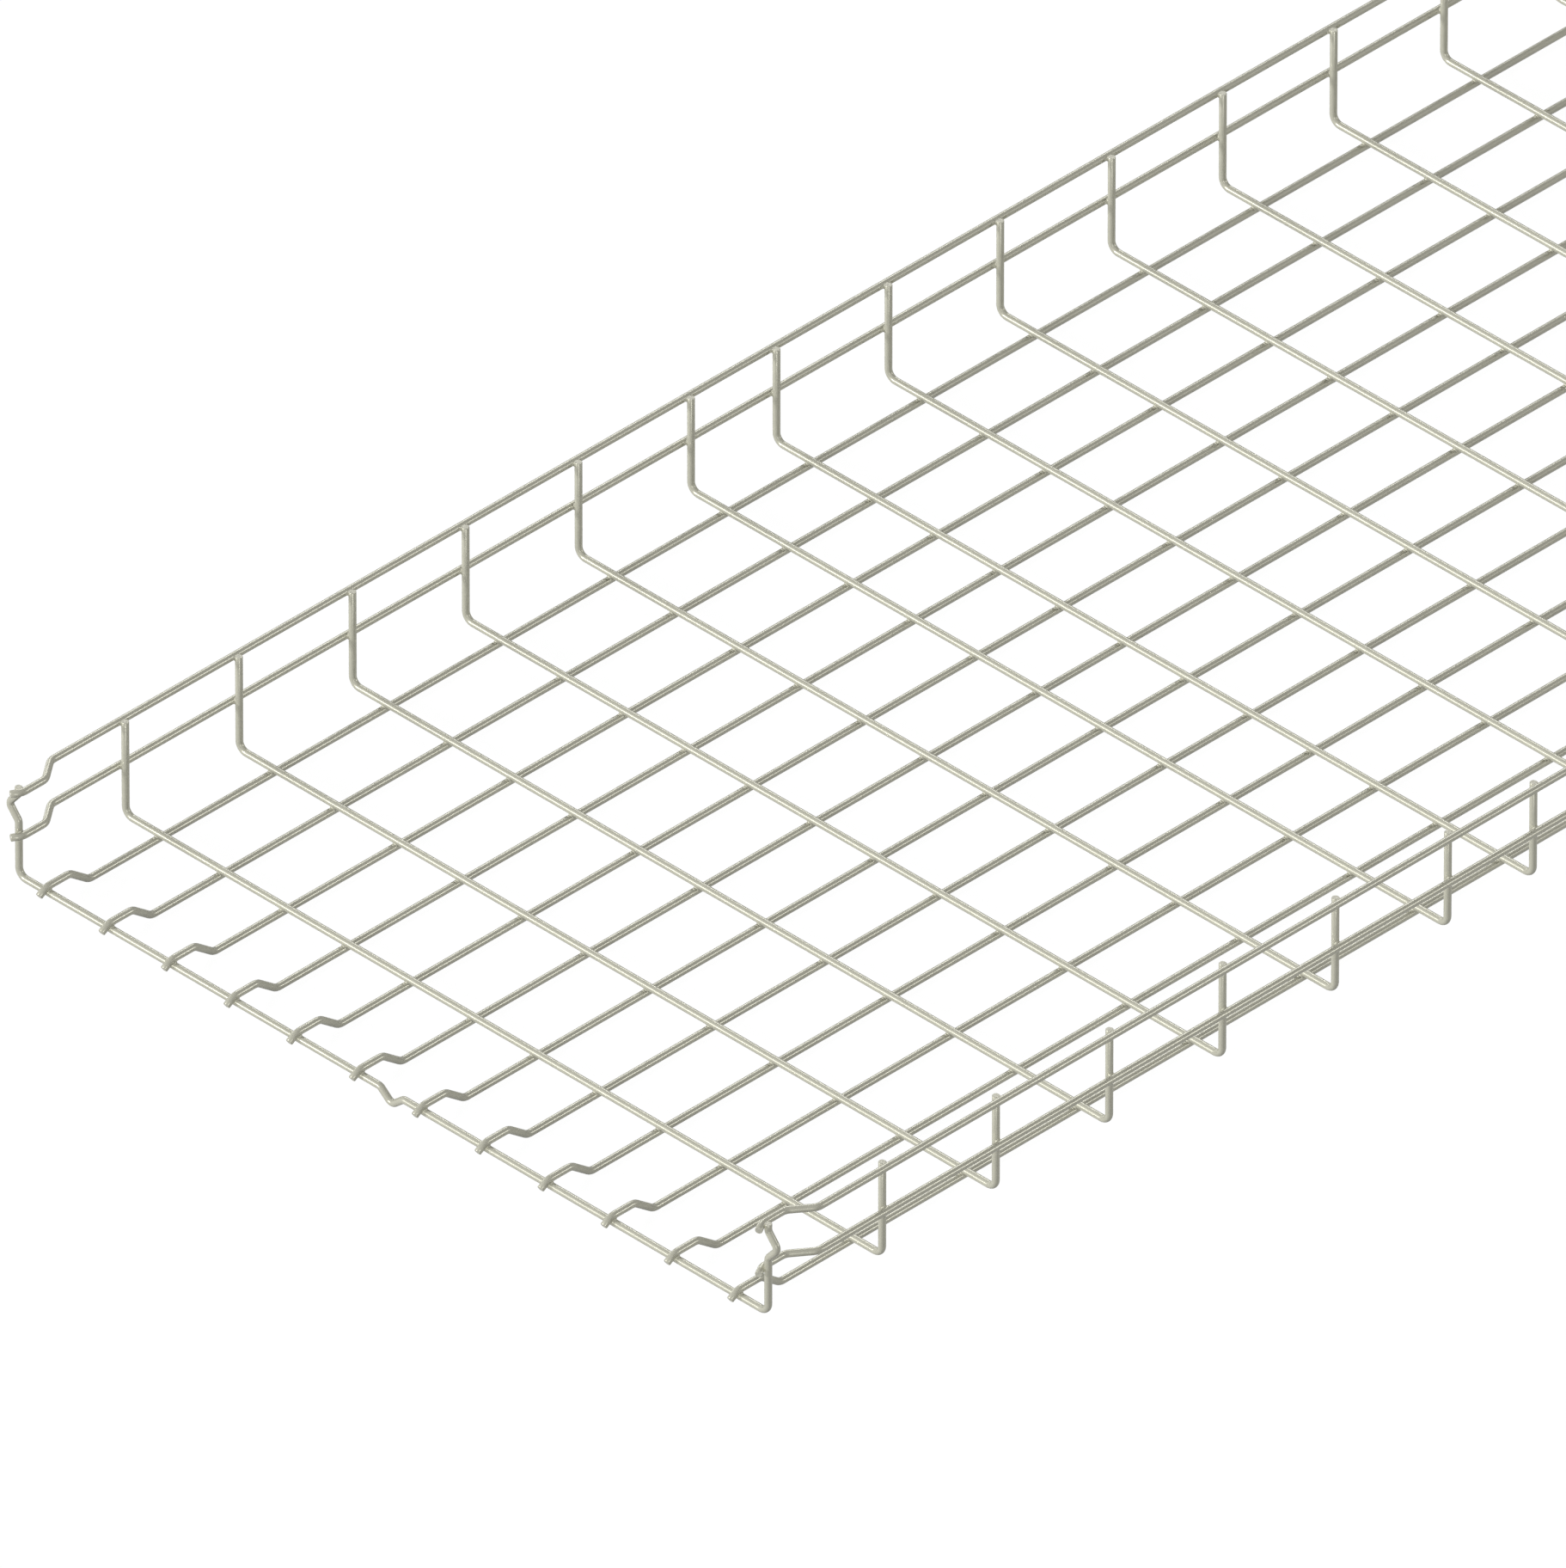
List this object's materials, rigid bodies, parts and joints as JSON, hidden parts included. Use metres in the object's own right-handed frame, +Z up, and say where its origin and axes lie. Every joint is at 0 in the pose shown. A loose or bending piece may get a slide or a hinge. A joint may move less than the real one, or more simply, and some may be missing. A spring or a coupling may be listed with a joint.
{
  "type": "wire mesh cable basket",
  "caption": "U-shaped tray of welded galvanised steel wires that carries cables, open on top, with a snap-in end that locks into the plain end of the next tray.",
  "frame": {"origin": "middle of the tray's width and overall length, on the level of the floor wires' underside", "axes": "+X across the tray towards its right wall, +Y along the tray from the snap-in end to the plain end, +Z up out of the open channel"},
  "size_m": [0.6146, 3.05, 0.071],
  "materials": {
    "galvanised_wire": "zinc coated steel wire, satin, pale warm grey"
  },
  "bodies": {
    "root": {"snap_in_floor": "galvanised_wire", "snap_in_left": "galvanised_wire", "snap_in_right": "galvanised_wire", "drawn_in_wires_left": "galvanised_wire", "drawn_in_wires_right": "galvanised_wire", "floor_mesh_near": "galvanised_wire", "floor_mesh_middle": "galvanised_wire", "floor_mesh_far": "galvanised_wire", "left_side_mesh": "galvanised_wire", "right_side_mesh": "galvanised_wire"}
  },
  "joints": []
}
